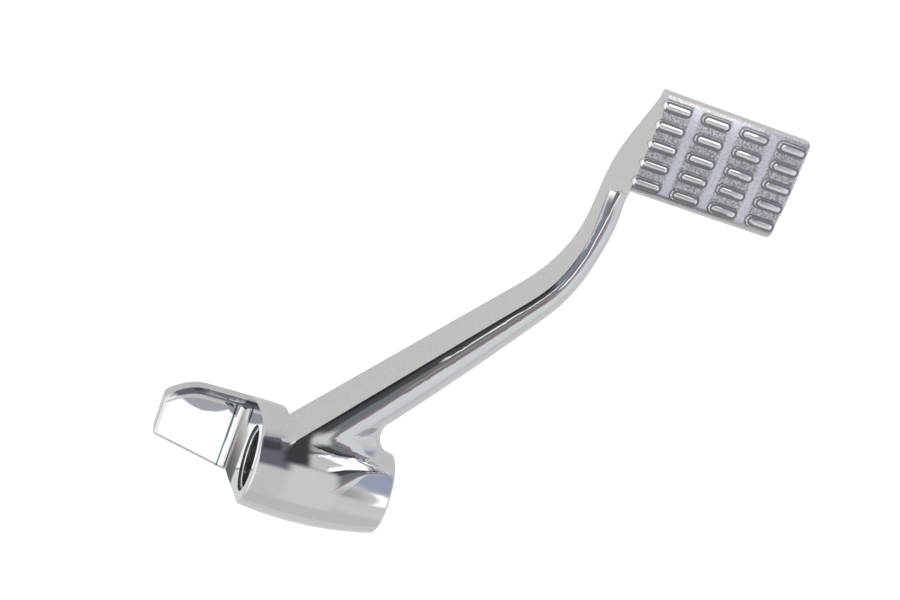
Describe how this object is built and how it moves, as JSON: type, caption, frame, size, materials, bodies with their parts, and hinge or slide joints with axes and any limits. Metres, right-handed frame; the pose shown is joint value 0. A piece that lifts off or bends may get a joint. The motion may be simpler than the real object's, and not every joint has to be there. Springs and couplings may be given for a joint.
{
  "type": "motorcycle brake pedal",
  "caption": "Chromed cast foot lever: crowned pivot hub, half-round bent arm, treaded rectangular foot pad, and a push tongue below the hub.",
  "frame": {"origin": "centre of the pivot bore, at the middle of the hub's length", "axes": "+Y along the pivot bore, towards the push tongue (inboard); +X forward, level, towards the foot pad; +Z the side the foot presses on"},
  "size_m": [0.2108, 0.1799, 0.0795],
  "materials": {
    "lever_chrome": "polished",
    "bush_steel": "turned"
  },
  "bodies": {
    "root": {"pedal_lever": "lever_chrome", "inboard_bush": "bush_steel", "outboard_bush": "bush_steel"}
  },
  "joints": []
}
